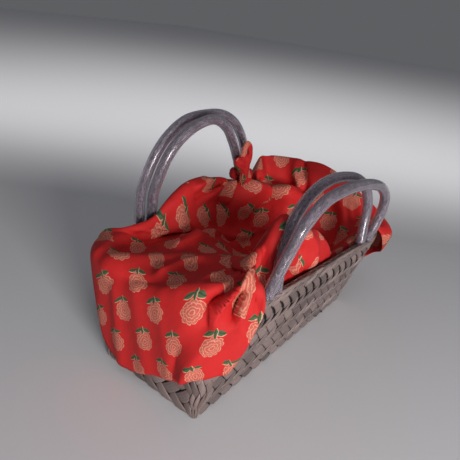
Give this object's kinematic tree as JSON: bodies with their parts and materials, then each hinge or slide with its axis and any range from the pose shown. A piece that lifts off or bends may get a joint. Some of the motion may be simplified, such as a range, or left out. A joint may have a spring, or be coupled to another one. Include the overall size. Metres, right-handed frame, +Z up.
{
  "type": "handkerchief bag with basket",
  "caption": "Long plaited basket bag with arched clear tube handles, lined with a printed handkerchief that falls over both ends and is knotted round a handle leg.",
  "frame": {"origin": "middle of the basket's underside", "axes": "+X along the basket, from the end with the long fall of cloth towards the knotted end; +Y away from the bare long side; +Z up"},
  "size_m": [0.2978, 0.1722, 0.1955],
  "materials": {
    "basket": "satin plaited plastic bands, taupe",
    "tube": "clear glossy vinyl",
    "core": "plaited grey-brown bands",
    "cloth": "red cotton with a block print of blooms"
  },
  "bodies": {
    "root": {"basket": "basket", "tube_near_front": "tube", "core_near_front": "core", "tube_near_back": "tube", "core_near_back": "core", "tube_far_front": "tube", "core_far_front": "core", "tube_far_back": "tube", "core_far_back": "core", "cloth": "cloth"}
  },
  "joints": []
}
